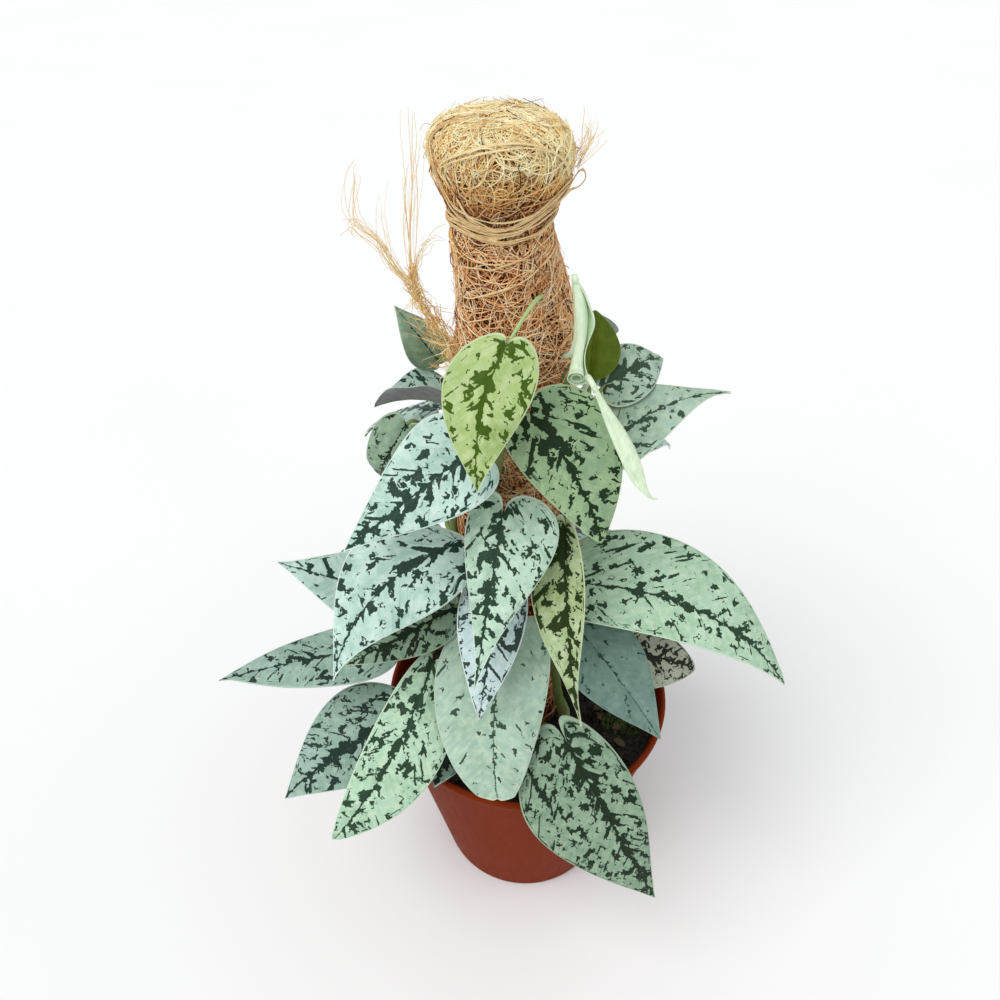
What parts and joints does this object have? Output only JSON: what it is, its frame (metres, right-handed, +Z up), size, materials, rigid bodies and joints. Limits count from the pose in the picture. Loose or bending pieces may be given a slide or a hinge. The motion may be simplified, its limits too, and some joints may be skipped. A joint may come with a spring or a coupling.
{
  "type": "potted satin pothos",
  "caption": "Climbing satin pothos with silvery mottled heart-shaped leaves on a coir fibre pole, in a tapered terracotta-coloured plastic nursery pot.",
  "frame": {"origin": "centre of the pot's underside", "axes": "+Z up the pole, -Y towards the plant's front, +X to its right as seen from the front"},
  "size_m": [0.2654, 0.2031, 0.4241],
  "materials": {
    "pot_plastic": "satin",
    "potting_mix": "matte",
    "stake_wood": "matte",
    "coir": "matte",
    "raffia": "matte",
    "stem": "satin",
    "leaf": "satin",
    "young_leaf": "satin"
  },
  "bodies": {
    "root": {"pot": "pot_plastic", "soil": "potting_mix", "stake": "stake_wood", "coir_pole": "coir", "neck_tie": "raffia", "bun_strand": "raffia", "loose_coir_left": "coir", "loose_coir_right": "coir", "stem_front": "stem", "stem_right": "stem", "stem_back": "stem", "stem_left": "stem", "leaf_01": "leaf", "leaf_02": "leaf", "leaf_03": "leaf", "leaf_04": "leaf", "leaf_05": "leaf", "leaf_06": "leaf", "leaf_07": "leaf", "leaf_08": "leaf", "leaf_09": "leaf", "leaf_10": "leaf", "leaf_11": "leaf", "leaf_12": "leaf", "leaf_13": "leaf", "leaf_14": "leaf", "leaf_15": "leaf", "leaf_16": "leaf", "leaf_17": "leaf", "leaf_18": "leaf", "leaf_19": "leaf", "leaf_20": "leaf", "leaf_21": "leaf", "leaf_22": "leaf", "leaf_23": "leaf", "leaf_24": "leaf", "leaf_25": "leaf", "leaf_26": "leaf", "leaf_27": "leaf", "leaf_28": "leaf", "leaf_29": "leaf", "leaf_30": "leaf", "leaf_31": "leaf", "leaf_32": "leaf", "leaf_33": "leaf", "leaf_34": "leaf", "leaf_35": "leaf", "leaf_36": "leaf", "rolled_leaf": "young_leaf", "spear_leaf": "young_leaf"}
  },
  "joints": []
}
